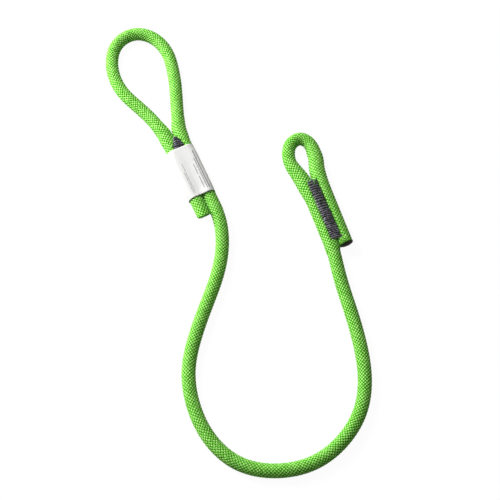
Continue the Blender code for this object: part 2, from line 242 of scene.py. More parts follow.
# Each sealed end: its outline as (share of the rope's radius, millimetres past the rope's end), how lumpy
# it is, by how many millimetres its scorching is moved along it, how far its upper rim stands past the
# middle, how much further the scorching goes on one side, and by what share it is wider than round
CUT_END = {
    "outline": [(0.78, -0.8), (0.85, -0.3), (0.84, 0.05), (0.74, 0.3), (0.5, 0.42), (0.2, 0.47)],
    "lumpiness": 0.03,
    "scorch_moved": -1.9,
    "overhang": CLOSED_END_SLANT,
    "scorch_slant": 0.0,
    "wider": 0.0,
}
LIP_END = {
    "outline": [
        (0.96, -2.2), (1.0, -1.9), (1.015, -1.4), (1.01, -0.9), (0.97, -0.4), (0.9, 0.0), (0.78, 0.4),
        (0.6, 0.85), (0.4, 1.15), (0.15, 1.3),
    ],
    "lumpiness": 0.04,
    "scorch_moved": 0.1,
    "overhang": 0.5 * MM,
    "scorch_slant": 1.0 * MM,
    "wider": SMALL_WIDER[1][2],
}
END_WAY_POINTS = 4

# The photograph: how the camera stands, and where it looks on the table
CAMERA_ELEVATION = math.radians(68.0)
CAMERA_DISTANCE = 0.79
CAMERA_LENS = 78.34
CAMERA_SENSOR = 36.0
CAMERA_SHIFT = 0.001

# The light: name, place and size in metres, watts. The surround lights this much and looks white, and so
# does the floor.
LAMPS = [
    ("key", (-0.6, 0.5, 0.75), 0.4, 9.6),
    ("low_side", (-0.78, 0.4, 0.2), 0.35, 8.0),
    ("fill", (-0.05, 0.0, 1.3), 1.0, 2.7),
]
SURROUND_LIGHT = 0.05
FLOOR_SIZE = 8.0
FLOOR_WHITENESS = 1.12
FLOOR_WHITE_SHARE = 0.85


def place_in_frame():
    """Where the table's origin lies in the frame, known from the label, whose place is given on both."""
    low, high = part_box("label_sleeve")
    return np.array(((low.x + high.x) / 2 - BIG_SEAM_PLACE[0], (low.y + high.y) / 2 - BIG_SEAM_PLACE[1]))


TABLE_ORIGIN = place_in_frame()


class SewnZone:
    """Turns (distance towards the eye's tip, distance to the right) into places in the frame."""

    def __init__(self, place, turn, height, reaches, wider):
        self.place = np.array(place) + TABLE_ORIGIN
        self.tipward = np.array((-math.sin(turn), math.cos(turn)))
        self.right = np.array((math.cos(turn), math.sin(turn)))
        self.height = height
        self.reaches = np.array(reaches) * MM
        self.wider = np.array(wider)

    def plan(self, tipward, right):
        return self.place + tipward * self.tipward + right * self.right

    def place_at(self, tipward, right, above):
        return np.append(self.plan(tipward, right), self.height + above)

    def places(self, local):
        """Many (tipward, right, above) rows at once."""
        plan = self.place + local[..., :1] * self.tipward + local[..., 1:2] * self.right
        return np.concatenate((plan, self.height + local[..., 2:]), axis=-1)

    def local(self, points):
        """The other way: (tipward, right, above) rows of points in the frame."""
        from_place = points[..., :2] - self.place
        above = points[..., 2] - self.height
        return np.stack((from_place @ self.tipward, from_place @ self.right, above), axis=-1)

    def reach_at(self, tipward):
        """How far the sewing goes to the left and to the right of the ropes' middle."""
        return [np.interp(tipward, self.reaches[:, 0], self.reaches[:, k]) for k in (1, 2)]

    def seam_top(self, tipward, right, crown):
        """The height of a pass of thread: highest left of the middle, and falling further on the right."""
        left_reach, right_reach = self.reach_at(tipward)
        ridge = SEAM_RIDGE * np.clip(left_reach / NARROW_SEAM, 0, 1)
        past = right - ridge
        share = np.where(past > 0, past / (right_reach - ridge), -past / (left_reach + ridge))
        fall = np.where(past > 0, SEAM_FALL_RIGHT, SEAM_FALL_LEFT)
        return crown - fall * np.clip(share, 0, FARTHEST_FALL) ** 2


BIG_ZONE = SewnZone(BIG_SEAM_PLACE, BIG_SEAM_TURN, BIG_SEAM_HEIGHT, BIG_SEAM_REACHES, BIG_WIDER)
SMALL_ZONE = SewnZone(SMALL_SEAM_PLACE, SMALL_SEAM_TURN, SMALL_SEAM_HEIGHT, SMALL_SEAM_REACHES, SMALL_WIDER)


def smooth_curve(points, first_way, last_way):
    """Close points on the cubic spline through the given ones, with its two end directions set."""
    spots = np.array(points, float)
    spans = np.linalg.norm(np.diff(spots, axis=0), axis=1)
    count = len(spots)
    system = np.eye(count)
    wanted = np.zeros_like(spots)
    wanted[0] = first_way
    wanted[-1] = last_way
    for i in range(1, count - 1):
        before, after = spans[i - 1], spans[i]
        system[i, i - 1 : i + 2] = (1 / before, 2 / before + 2 / after, 1 / after)
        rise_before = (spots[i] - spots[i - 1]) / before**2
        rise_after = (spots[i + 1] - spots[i]) / after**2
        wanted[i] = 3 * (rise_before + rise_after)
    slopes = np.linalg.solve(system, wanted)
    line = [spots[0]]
    for i, span in enumerate(spans):
        for t in np.arange(1, SPAN_STEPS + 1) / SPAN_STEPS:
            start_share = 2 * t**3 - 3 * t**2 + 1
            start_pull = span * (t**3 - 2 * t**2 + t)
            end_pull = span * (t**3 - t**2)
            line.append(
                start_share * spots[i]
                + (1 - start_share) * spots[i + 1]
                + start_pull * slopes[i]
                + end_pull * slopes[i + 1]
            )
    return np.array(line)


def eased(share):
    """Nought to one, with a soft start and a soft end."""
    share = np.clip(share, 0, 1)
    return share * share * (3 - 2 * share)


def lay_down(plan, start_height, end_height):
    """Gives a stretch its heights: it sinks from each end to the floor within the settle length."""
    along = np.append(0, np.cumsum(np.linalg.norm(np.diff(plan, axis=0), axis=1)))
    from_start = 1 - eased(along / SETTLE_LENGTH)
    from_end = 1 - eased((along[-1] - along) / SETTLE_LENGTH)
    heights = REST_HEIGHT + from_start * (start_height - REST_HEIGHT) + from_end * (end_height - REST_HEIGHT)
    return np.column_stack((plan, heights))


def eye_stretch(zone, points, straight):
    """The free loop of an eye, from its left strand round the tip to its right strand."""
    ends = [(straight, -HALF_SPACING), (straight, HALF_SPACING)]
    inner = [(tipward * MM, right * MM) for tipward, right in points]
    plan = [zone.plan(*spot) for spot in (ends[0], *inner, ends[1])]
    line = smooth_curve(plan, zone.tipward, -zone.tipward)
    return lay_down(line, zone.height, zone.height)


def rope_line():
    """The rope's middle line, from the cut end at the big eye to the sealed end at the small eye."""
    big_end = LABEL_LENGTH / 2 + BIG_TAIL_LENGTH
    small_end = SMALL_SEAM_LENGTH / 2 + SMALL_TAIL_LENGTH
    big_tail = [BIG_ZONE.place_at(-big_end - CLOSED_END_BEYOND, TAIL_LEAN - HALF_SPACING, 0)]
    big_eye = eye_stretch(BIG_ZONE, BIG_EYE_POINTS, BIG_STRAIGHT)
    leg_start = BIG_ZONE.plan(-big_end - PAST_TAIL, HALF_SPACING)
    leg_end = SMALL_ZONE.plan(-SMALL_STRAIGHT_BELOW, -HALF_SPACING)
    leg_plan = [leg_start, *(np.array(spot) * MM + TABLE_ORIGIN for spot in LEG_POINTS), leg_end]
    leg = smooth_curve(leg_plan, -BIG_ZONE.tipward, SMALL_ZONE.tipward)
    leg = lay_down(leg, BIG_ZONE.height, SMALL_ZONE.height)
    small_eye = eye_stretch(SMALL_ZONE, SMALL_EYE_POINTS, SMALL_STRAIGHT)
    small_tail = [SMALL_ZONE.place_at(-small_end, HALF_SPACING - TAIL_LEAN, 0)]
    return np.vstack((big_tail, big_eye, leg, small_eye, small_tail))


def evenly(line, step):
    """Points a steady step apart along a line, and the distance of each from its start."""
    along = np.append(0, np.cumsum(np.linalg.norm(np.diff(line, axis=0), axis=1)))
    count = int(round(along[-1] / step)) + 1
    wanted = np.linspace(0, along[-1], count)
    return np.column_stack([np.interp(wanted, along, line[:, k]) for k in range(3)]), wanted


def ways_along(line):
    """The direction of a line at each of its points."""
    ways = np.gradient(line, axis=0)
    return ways / np.linalg.norm(ways, axis=1)[:, None]


def frames_along(line):
    """The direction, the right side and the upper side of a line at each point."""
    ways = ways_along(line)
    right = np.cross(ways, (0, 0, 1))
    right = right / np.linalg.norm(right, axis=1)[:, None]
    return ways, right, np.cross(right, ways)


def carried_frames(line):
    """The same for a line that may stand upright: each frame is the last one, turned no more than it must."""
    ways = ways_along(line)
    right = np.zeros_like(ways)
    slanting = (0.3, 0.2, 1.0)
    side = np.cross(ways[0], slanting)
    for i, way in enumerate(ways):
        side = side - way * (side @ way)
        side = side / np.linalg.norm(side)
        right[i] = side
    return ways, right, np.cross(right, ways)


def points_round(line, right, up, radius, angle):
    """Rows of points round a line, one row for each of its points."""
    sideways = (radius * np.cos(angle))[..., None] * right[:, None, :]
    upward = (radius * np.sin(angle))[..., None] * up[:, None, :]
    return line[:, None, :] + sideways + upward


def mesh_object(name, points, faces, material, uv):
    """A smooth mesh object in the frame. uv holds one (u, v) row for each corner of each face."""
    mesh = bpy.data.meshes.new(name)
    mesh.from_pydata(points.tolist(), [], faces)
    layer = mesh.uv_layers.new(name="run")
    layer.data.foreach_set("uv", np.asarray(uv, np.float32).ravel())
    mesh.materials.append(material)
    mesh.shade_smooth()
    mesh.update()
    made = bpy.data.objects.new(name, mesh)
    bpy.context.scene.collection.objects.link(made)
    return made


def grid_object(name, grid, material, along, capped=False, looped=False):
    """A tube from rows of points: each row goes once round, and looped rows meet again at the end."""
    rows, columns = grid.shape[:2]
    if along.ndim == 1:
        along = np.repeat(along[:, None], columns, axis=1)
    faces = []
    uv = []
    for i in range(rows if looped else rows - 1):
        below = (i + 1) % rows
        for j in range(columns):
            beside = (j + 1) % columns
            start, end = j / columns, (j + 1) / columns
            corners = (i, j, start), (below, j, start), (below, beside, end), (i, beside, end)
            faces.append([row * columns + column for row, column, _ in corners])
            uv += [(turn, along[row, column]) for row, column, turn in corners]
    if capped:
        for i, order in ((0, 1), (rows - 1, -1)):
            ring = list(range(columns))[::order]
            faces.append([i * columns + j for j in ring])
            uv += [(0.0, along[i, j]) for j in ring]
    return mesh_object(name, grid.reshape(-1, 3), faces, material, uv)


def linear(hex_colour):
    """An sRGB hex colour as linear values with an alpha of one."""
    parts = [int(hex_colour[i : i + 2], 16) / 255 for i in (1, 3, 5)]
    return (*(p / 12.92 if p <= 0.04045 else ((p + 0.055) / 1.055) ** 2.4 for p in parts), 1.0)


def node(tree, kind, settings=None, *ordered, stops=(), **named):
    """Adds one node with its settings and inputs.

    settings are attributes by name, or just the operation of a math node. An input is a value, an output
    socket, or a node whose first output is meant. The first inputs go by their order and the others by
    name, with _ for a space. stops are a colour ramp's places and hex colours, from low to high.
    """
    made = tree.nodes.new(kind)
    if isinstance(settings, str):
        settings = {"operation": settings}
    for key, value in (settings or {}).items():
        setattr(made, key, value)
    for key, value in (*enumerate(ordered), *named.items()):
        socket = made.inputs[key.replace("_", " ") if isinstance(key, str) else key]
        if isinstance(value, bpy.types.Node):
            value = value.outputs[0]
        if isinstance(value, bpy.types.NodeSocket):
            tree.links.new(value, socket)
        else:
            socket.default_value = value
    if stops:
        elements = made.color_ramp.elements
        elements.remove(elements[1])
        for k, (place, colour) in enumerate(stops):
            stop = elements.new(place) if k else elements[0]
            stop.position = place
            stop.color = linear(colour)
    return made


def new_material(name, **finish):
    """A material, its node tree and its shader, with the finish set on the shader's own sockets."""
    made = bpy.data.materials.new(name)
    made.use_nodes = True
    shader = made.node_tree.nodes["Principled BSDF"]
    for key, value in finish.items():
        shader.inputs[key.replace("_", " ")].default_value = value
    return made, made.node_tree, shader


def dress(tree, shader, colour, bump):
    """Links a pattern's colour and relief to the shader."""
    tree.links.new(colour.outputs[0], shader.inputs["Base Color"])
    tree.links.new(bump.outputs[0], shader.inputs["Normal"])


def sheath_material():
    """Braided polyamide cover, dyed bright green: two soft yarns to a band, painted light on crowns, painted
    shade in gaps.
    """
    made, tree, shader = new_material(
        "braided_polyamide_green",
        Roughness=0.7,
        IOR=1.53,
        Specular_IOR_Level=0.03,
        Sheen_Weight=1.0,
        Sheen_Roughness=0.2,
        Sheen_Tint=linear("#e4ffcc"),
    )
    run = node(tree, "ShaderNodeUVMap", {"uv_map": "run"})
    turn, metres, _ = node(tree, "ShaderNodeSeparateXYZ", None, run).outputs

    # Which band of either way a spot is on, how far across and along it, and which of the two is on top
    round_bands = node(tree, MATH, "MULTIPLY", turn, BANDS)
    along_bands = node(tree, MATH, "MULTIPLY", metres, 1 / BAND_PITCH)
    one_way = node(tree, MATH, "ADD", along_bands, round_bands)
    other_way = node(tree, MATH, "SUBTRACT", along_bands, round_bands)
    one_share = node(tree, MATH, "FRACT", one_way)
    other_share = node(tree, MATH, "FRACT", other_way)
    one_count = node(tree, MATH, "FLOOR", one_way)
    other_count = node(tree, MATH, "FLOOR", other_way)
    both_counts = node(tree, MATH, "ADD", one_count, other_count)
    on_top = node(tree, MATH, "FLOORED_MODULO", both_counts, 2)
    across = node(tree, "ShaderNodeMix", None, on_top, A=one_share, B=other_share)
    lengthwise = node(tree, "ShaderNodeMix", None, on_top, A=other_share, B=one_share)

    # Relief: two round yarns side by side, which arch over the band below, with fine slanting filaments
    whole_turn = node(tree, MATH, "MULTIPLY", across, 2 * math.pi)
    yarn = node(tree, MATH, "ABSOLUTE", node(tree, MATH, "SINE", whole_turn))
    arch = node(tree, MATH, "SINE", node(tree, MATH, "MULTIPLY", lengthwise, math.pi))
    round_yarn = node(tree, MATH, "POWER", yarn, YARN_ROUNDNESS)
    round_arch = node(tree, MATH, "POWER", arch, ARCH_ROUNDNESS)
    pillow = node(tree, MATH, "MULTIPLY", round_yarn, round_arch)
    lines_across = node(tree, MATH, "MULTIPLY", across, round(BAND_WIDTH / FILAMENTS_ACROSS))
    lines_along = round(BAND_WIDTH / FILAMENTS_ALONG)
    filament_lines = node(tree, MATH, "MULTIPLY_ADD", lengthwise, lines_along, lines_across)
    filaments = node(tree, MATH, "SINE", node(tree, MATH, "MULTIPLY", filament_lines, 2 * math.pi))
    height = node(tree, MATH, "MULTIPLY_ADD", filaments, FILAMENT_DEPTH, pillow)
    bump = node(tree, "ShaderNodeBump", Strength=0.45, Distance=YARN_HEIGHT, Height=height)

    # Colour: a painted highlight where the band is highest, painted shade where its yarns part and, darker
    # still, in the gaps, and no two bands quite alike in tone
    band = node(tree, MATH, "SINE", node(tree, MATH, "MULTIPLY", across, math.pi))
    crown = node(tree, MATH, "POWER", node(tree, MATH, "MULTIPLY", arch, band), PAINTED_HIGHLIGHT_FALL)
    painted_split_shade = node(tree, MATH, "MULTIPLY_ADD", yarn, PAINTED_SPLIT_SHADE, 1 - PAINTED_SPLIT_SHADE)
    painted_light = node(tree, MATH, "MULTIPLY", crown, painted_split_shade)
    cell = node(tree, "ShaderNodeCombineXYZ", None, one_count, other_count)
    chance = node(tree, "ShaderNodeTexWhiteNoise", {"noise_dimensions": "3D"}, cell)
    shade = node(tree, MATH, "MULTIPLY", painted_light, 1 - YARN_TONES)
    shade = node(tree, MATH, "MULTIPLY_ADD", chance, YARN_TONES, shade)
    # From painted shade in the gaps, through the dye's green, to the painted highlight on the crowns
    colours = ((0.12, "#2a8406"), (0.36, "#6eda2c"), (0.74, "#c8fa9a"))
    dress(tree, shader, node(tree, "ShaderNodeValToRGB", None, shade, stops=colours), bump)
    return made


def thread_material():
    """Bonded polyester thread, dark with a plum cast: twisted plies of low shine, with random patches whose
    light ones are painted glints.
    """
    made, tree, shader = new_material(
        "bonded_polyester_thread", Roughness=0.36, IOR=1.58, Specular_IOR_Level=0.5, Sheen_Weight=0.05
    )
    run = node(tree, "ShaderNodeUVMap", {"uv_map": "run"})
    spread = node(
        tree,
        "ShaderNodeMapping",
        Vector=run,
        Scale=(FLECKS_ROUND_THREAD, 1 / FLECK_LENGTH, 1),
        Rotation=(0, 0, FLECK_SLANT),
    )
    flecks = node(tree, "ShaderNodeTexNoise", Vector=spread, Scale=1, Detail=3)
    bump = node(tree, "ShaderNodeBump", Strength=0.5, Distance=0.12 * MM, Height=flecks)
    place = node(tree, "ShaderNodeTexCoord").outputs["Object"]
    # Painted glints: slow random patches lighten stretches of the thread as highlights would
    tone_and_painted_glints = node(tree, "ShaderNodeTexNoise", Vector=place, Scale=1 / GLINT_PATCH, Detail=2)
    shade = node(tree, MATH, "MULTIPLY_ADD", tone_and_painted_glints, GLINT_STRENGTH, GLINT_LEVEL)
    shade = node(tree, MATH, "ADD", shade, flecks)
    colours = ((0.36, "#060507"), (0.74, "#847e90"))
    dress(tree, shader, node(tree, "ShaderNodeValToRGB", None, shade, stops=colours), bump)
    return made


def label_material():
    """White shrink film with plain grey rules: a smooth, slightly rippled, semi-gloss skin."""
    made, tree, shader = new_material("white_shrink_film", Roughness=0.5, IOR=1.5)
    run = node(tree, "ShaderNodeUVMap", {"uv_map": "run"})
    over, metres, _ = node(tree, "ShaderNodeSeparateXYZ", None, run).outputs
    inked = 0.0
    for right, start, end, width in LABEL_RULES:
        beside = node(tree, MATH, "COMPARE", over, right * MM, width / 2 * MM)
        reach = node(tree, MATH, "COMPARE", metres, (start + end) / 2 * MM, (end - start) / 2 * MM)
        inked = node(tree, MATH, "MAXIMUM", inked, node(tree, MATH, "MULTIPLY", beside, reach))
    place = node(tree, "ShaderNodeTexCoord").outputs["Object"]
    ripples = node(tree, "ShaderNodeTexNoise", Vector=place, Scale=1 / RIPPLE_SPACING, Detail=2)
    bump = node(tree, "ShaderNodeBump", Strength=0.25, Distance=0.4 * MM, Height=ripples)
    colours = ((0, "#e0e0de"), (1, "#8b8b8e"))
    dress(tree, shader, node(tree, "ShaderNodeValToRGB", None, inked, stops=colours), bump)
    return made


def melted_material():
    """Polyamide melted by a hot blade: green skin scorched to a dark brown past the lip, and pitted."""
    made, tree, shader = new_material("melted_polyamide", Roughness=0.6, Specular_IOR_Level=0.12)
    place = node(tree, "ShaderNodeTexCoord").outputs["Object"]
    pits = node(tree, "ShaderNodeTexNoise", Vector=place, Scale=1 / PIT_SPACING, Detail=4)
    run = node(tree, "ShaderNodeUVMap", {"uv_map": "run"})
    metres = node(tree, "ShaderNodeSeparateXYZ", None, run).outputs[1]
    burnt = node(tree, "ShaderNodeMapRange", None, metres, SCORCH_START, SCORCH_END, 0, SCORCH_SHARE)
    shade = node(tree, MATH, "MULTIPLY_ADD", pits, PIT_SHARE, burnt)
    bump = node(tree, "ShaderNodeBump", Strength=0.6, Distance=0.3 * MM, Height=pits)
    colours = ((0.15, "#62a832"), (0.5, "#1c470a"), (0.8, "#180d05"))
    dress(tree, shader, node(tree, "ShaderNodeValToRGB", None, shade, stops=colours), bump)
    return made


def core_material():
    """Undyed twisted polyamide yarn: soft off-white with wavering plies."""
    made, tree, shader = new_material("undyed_polyamide_yarn", Roughness=0.7)
    place = node(tree, "ShaderNodeTexCoord").outputs["Object"]
    plies = node(tree, "ShaderNodeTexWave", Vector=place, Scale=WAVE_LENGTH / CORE_PLY_WIDTH, Distortion=2)
    bump = node(tree, "ShaderNodeBump", Strength=0.5, Distance=0.2 * MM, Height=plies)
    colours = ((0, "#cfcbbd"), (1, "#f2f0e6"))
    dress(tree, shader, node(tree, "ShaderNodeValToRGB", None, plies, stops=colours), bump)
    return made


def looked_at(tree):
    """One where a surface is looked at, also mirrored or through glass, and nought where it only lights."""
    path = node(tree, "ShaderNodeLightPath").outputs
    either = node(tree, MATH, "MAXIMUM", path["Is Camera Ray"], path["Is Glossy Ray"])
    return node(tree, MATH, "MAXIMUM", either, path["Is Transmission Ray"])


def floor_material():
    """Matt white paper, nearly pure white to the eye, that still takes the object's soft shadow."""
    made, tree, shader = new_material("matt_white_paper", Base_Color=linear("#c0c0c0"), Roughness=0.9)
    share = node(tree, MATH, "MULTIPLY", looked_at(tree), FLOOR_WHITE_SHARE)
    white = node(tree, "ShaderNodeEmission", Strength=FLOOR_WHITENESS)
    both = node(tree, "ShaderNodeMixShader", None, share, shader, white)
    tree.links.new(both.outputs[0], tree.nodes["Material Output"].inputs["Surface"])
    return made


def braid_points(line):
    """Rings of points that follow the yarns: every band is raised, and every crossing gap is low."""
    columns = BANDS * POINTS_PER_BAND
    centres, along = evenly(line, BAND_PITCH / (2 * POINTS_PER_BAND))
    ways, right, up = frames_along(centres)
    ring, column = np.meshgrid(np.arange(len(centres)), np.arange(columns), indexing="ij")
    turn = (column + 0.5 * (ring % 2)) / columns
    one_way = np.round(turn * 2 * columns + ring) / 2
    other_way = np.round(ring - turn * 2 * columns) / 2
    in_one_gap = np.isclose(one_way % POINTS_PER_BAND, 0)
    in_other_gap = np.isclose(other_way % POINTS_PER_BAND, 0)
    level = 1 - ONE_WAY_GAP * in_one_gap - OTHER_WAY_GAP * in_other_gap
    radius = GROOVE_RADIUS + (CROWN_RADIUS - GROOVE_RADIUS) * level
    closing = np.clip(along / CLOSED_END_LENGTH, 0, 1)
    radius = radius * (CLOSED_END_SHARE + (1 - CLOSED_END_SHARE) * np.sqrt(1 - (1 - closing) ** 2))[:, None]
    radius = radius * (1 - UNDER_LIP_SHARE * (1 - eased((along[-1] - along) / UNDER_LIP_LENGTH)))[:, None]
    angle = 2 * math.pi * turn
    slanted = CLOSED_END_SLANT * (1 - eased(along / SLANT_FADE))
    backward = (slanted[:, None] * radius / CROWN_RADIUS) * np.sin(angle)
    points = points_round(centres, right, up, radius, angle) - backward[..., None] * ways[:, None, :]
    return points, centres, along


def braid_faces(along, columns):
    """Faces whose edges follow the yarns, and the unbroken (turn, distance) at each of their corners."""
    last = len(along) - 1
    faces = []
    uv = []

    def add(spots):
        """Each spot is a ring and a column, which may be one before the first or after the last."""
        faces.append([i * columns + c % columns for i, c in spots])
        uv.extend(((c + 0.5 * (i % 2)) / columns, along[i]) for i, c in spots)

    for i in range(last - 1):
        shift = i % 2
        for c in range(columns):
            add([(i, c), (i + 1, c + shift - 1), (i + 2, c), (i + 1, c + shift)])
    for i, inner, order in ((0, 1, 1), (last, last - 1, -1)):
        shift = i % 2
        for c in range(columns):
            add([(i, c), (inner, c + shift), (i, c + 1)][::order])
    for i, order in ((0, 1), (last, -1)):
        faces.append([i * columns + c for c in range(columns)][::order])
        uv += [(0.0, along[i])] * columns
    return faces, uv


def braided_rope(line, material):
    """The cover, lying on the floor and pressed where it is sewn, and the rope's middle points."""
    points, centres, along = braid_points(line)
    points = rest_on_floor(points, centres)
    small_top = SMALL_SEAM_LENGTH / 2
    for zone, bottom, top in (
        (SMALL_ZONE, -small_top, small_top),
        (BIG_ZONE, BIG_SEAM_TOP - BIG_SEAM_LENGTH, BIG_SEAM_TOP),
    ):
        points = pressed_wide(points, centres[:, None, :], zone)
        points = pulled_in(points, zone, bottom, top)
    faces, uv = braid_faces(along, BANDS * POINTS_PER_BAND)
    return mesh_object("rope", points.reshape(-1, 3), faces, material, uv), centres


def rest_on_floor(points, centres):
    """Squeezes the lowest part of the rope, so that it lies on the floor and keeps its braid."""
    depth = CROWN_RADIUS - SQUEEZED_FROM
    limit = centres[:, None, 2] - SQUEEZED_FROM
    share = np.clip(limit, 0, depth) / depth
    below = limit - points[..., 2]
    squeezed = np.where(below > 0, limit - below * share, points[..., 2])
    return np.concatenate((points[..., :2], squeezed[..., None]), axis=-1)


def pressed_wide(points, middles, zone):
    """Sewn ropes are oval: each point moves away from its rope's middle, and not past the other rope."""
    near = zone.local(points)
    tipward, right = near[..., 0], near[..., 1]
    middle = zone.local(middles)[..., 1]
    side = np.sign(middle)
    share = [np.interp(tipward / MM, zone.wider[:, 0], zone.wider[:, k]) for k in (1, 2)]
    share = np.where(side < 0, *share) * (np.abs(middle) < SEWN_PAIR_REACH)
    widened = middle + (right - middle) * (1 + share)
    kept_apart = side * np.maximum(side * widened, LEAST_CLEARANCE)
    near[..., 1] = right + (kept_apart - right) * eased(share / FULLY_PRESSED)
    return zone.places(near)


def pulled_in(points, zone, bottom, top):
    """Presses the two ropes in under the sewing, above and below, so that the thread lies in a trough."""
    near = zone.local(points)
    tipward, right, above = near[..., 0], near[..., 1], near[..., 2]
    share = eased((tipward - bottom + PRESSED_PAST_SEAM) / PRESS_FADE)
    share = share * eased((top + PRESSED_PAST_SEAM - tipward) / PRESS_FADE)
    left_reach, right_reach = zone.reach_at(tipward)
    outside = np.clip(np.maximum(right - right_reach, -left_reach - right) / SHOULDER_WIDTH, 0, 1)
    limit = zone.seam_top(tipward, right, SEAM_CROWN) - UNDER_THREAD + outside**2 * SHOULDER_RISE
    core_top = np.sqrt(np.maximum(CORE_RADIUS**2 - (np.abs(right) - HALF_SPACING) ** 2, 0))
    limit = np.maximum(limit, core_top)
    over = np.maximum(np.abs(above) - limit, 0) * share * (np.abs(right) < SEWN_PAIR_REACH)
    near[..., 2] = above - np.sign(above) * over
    return zone.places(near)


def sewn_thread(name, zone, passes, side, material, chance):
    """One twisted thread laid to and fro across the two ropes, diving into them at each end of a pass.

    passes holds (tipward, how far it falls short of the seam's sides, height at the crown) for each of them.
    """
    path = []
    way = 1
    for k, (tipward, short, crown) in enumerate(passes):
        left, right = (reach - short for reach in zone.reach_at(tipward))
        reached = {-1: left + chance.uniform(*LEFT_STRAY), 1: right + chance.uniform(*RIGHT_STRAY)}
        slant = chance.uniform(-PASS_SLANT, PASS_SLANT)
        for share in np.linspace(-1, 1, PASS_POINTS) * way:
            across = share * reached[1 if share > 0 else -1]
            above = float(zone.seam_top(tipward, across, crown))
            path.append((tipward + slant * share, across, side * above))
        if k + 1 < len(passes):
            halfway = (tipward + passes[k + 1][0]) / 2
            path.append((halfway, way * (reached[way] - TURN_INWARD), side * (above - TURN_DIVE)))
        way = -way
    line, along = evenly(soft_line(zone.places(np.array(path))), THREAD_STEP)
    _, right, up = carried_frames(line)
    angle = np.linspace(0, 2 * math.pi, THREAD_POINTS_ROUND, endpoint=False)[None, :]
    twist = (along / PLY_LAY * 2 * math.pi)[:, None]
    three_plies = np.abs(np.cos(1.5 * (angle - twist)))
    radius = THREAD_RADIUS * (1 - PLY_DEPTH + PLY_DEPTH * three_plies)
    return grid_object(name, points_round(line, right, up, radius, angle), material, along, capped=True)


def soft_line(path):
    """Rounds a line's corners: two rounds of cutting each corner a quarter of the way along its sides."""
    for _ in range(2):
        near = 0.75 * path[:-1] + 0.25 * path[1:]
        far = 0.25 * path[:-1] + 0.75 * path[1:]
        path = np.vstack((path[:1], np.stack((near, far), axis=1).reshape(-1, 3), path[-1:]))
    return path


def seam_passes(start, end, pitch_at, crown_at, chance):
    """Passes from the tip's side down: proud ones a pitch apart, each followed by a deeper, shorter one."""
    passes = []
    tipward = start
    while tipward > end:
        pitch = pitch_at(tipward) * chance.uniform(1 - PITCH_STRAY, 1 + PITCH_STRAY)
        crown = crown_at(tipward) + chance.uniform(-CROWN_STRAY, CROWN_STRAY)
        passes.append((tipward, 0.0, crown))
        passes.append((tipward - pitch / 2, SHORTER_BY, crown - DEEPER_BY))
        tipward -= pitch
    return passes


def small_seam(name, side, material, chance):
    """The small eye's sewing, above the ropes or below them: coarser in the half near the eye's tip."""
    start = SMALL_SEAM_LENGTH / 2 - THREAD_RADIUS
    crown = SEAM_CROWN if side > 0 else UNDERSIDE_CROWN

    def pitch_at(tipward):
        return COARSE_PITCH if tipward > 0 else FINE_PITCH

    passes = seam_passes(start, -start, pitch_at, lambda tipward: crown, chance)
    return sewn_thread(name, SMALL_ZONE, passes, side, material, chance)


def big_seam(name, side, material, chance):
    """The big eye's sewing, above the ropes or below them: pressed flat where the label covers it."""
    start = BIG_SEAM_TOP - THREAD_RADIUS
    crown = SEAM_CROWN if side > 0 else UNDERSIDE_CROWN

    def crown_at(tipward):
        clear = eased((tipward - LABEL_TOP) / LABEL_EDGE_FADE)
        return UNDER_LABEL_CROWN + (crown - UNDER_LABEL_CROWN) * clear

    passes = seam_passes(start, start - BIG_SEAM_LENGTH, lambda tipward: FINE_PITCH, crown_at, chance)
    return sewn_thread(name, BIG_ZONE, passes, side, material, chance)


def label(material):
    """Shrunk film over two ropes: round at the sides, sunk a little between them, open at both mouths."""
    lengths = LABEL_BOTTOM + (LABEL_TOP - LABEL_BOTTOM) * np.linspace(0, 1, LABEL_ROWS)
    outside = [label_row(tipward, 0) for tipward in lengths]
    inside = [label_row(tipward, LABEL_FILM) for tipward in lengths]
    grid = np.array(outside + inside[::-1])
    places = BIG_ZONE.places(grid)
    low = places[..., 2]
    places[..., 2] = np.where(low < LABEL_FOOT, LABEL_FOOT + (low - LABEL_FOOT) * LABEL_FOOT_GIVE, low)
    along = np.concatenate((lengths, lengths[::-1]))
    made = grid_object("label", places, material, along, looped=True)
    lay_rule_places(made, grid)
    return made


def label_row(tipward, inset):
    """One row of (tipward, right, above) points round the film, on its outside or inset from it."""
    share = (tipward - LABEL_BOTTOM) / (LABEL_TOP - LABEL_BOTTOM)
    dip = LABEL_DIP_BOTTOM + (LABEL_DIP_TOP - LABEL_DIP_BOTTOM) * share
    from_mouth = min(tipward - LABEL_BOTTOM, LABEL_TOP - tipward)
    squareness = MOUTH_SQUARENESS + (LABEL_SQUARENESS - MOUTH_SQUARENESS) * eased(from_mouth / MOUTH_LENGTH)
    flare = mouth_flare(tipward) / LABEL_OUTER
    row = []
    for j in range(LABEL_COLUMNS):
        right, above = label_point(j / LABEL_COLUMNS, LABEL_OUTER - inset, squareness, dip)
        flare_share = np.clip(FLARE_AT_MIDDLE + right / (2 * LABEL_OUTER), 0, 1)
        row.append((tipward, right, above * (1 + flare * flare_share * (above > 0))))
    return row


def mouth_flare(tipward):
    """How far the film's top stands off near its two mouths, more at the lower one."""
    low = 1 - eased((tipward - LABEL_BOTTOM) / LOWER_FLARE_LENGTH)
    high = 1 - eased((LABEL_TOP - tipward) / UPPER_FLARE_LENGTH)
    return LOWER_FLARE * low + UPPER_FLARE * high


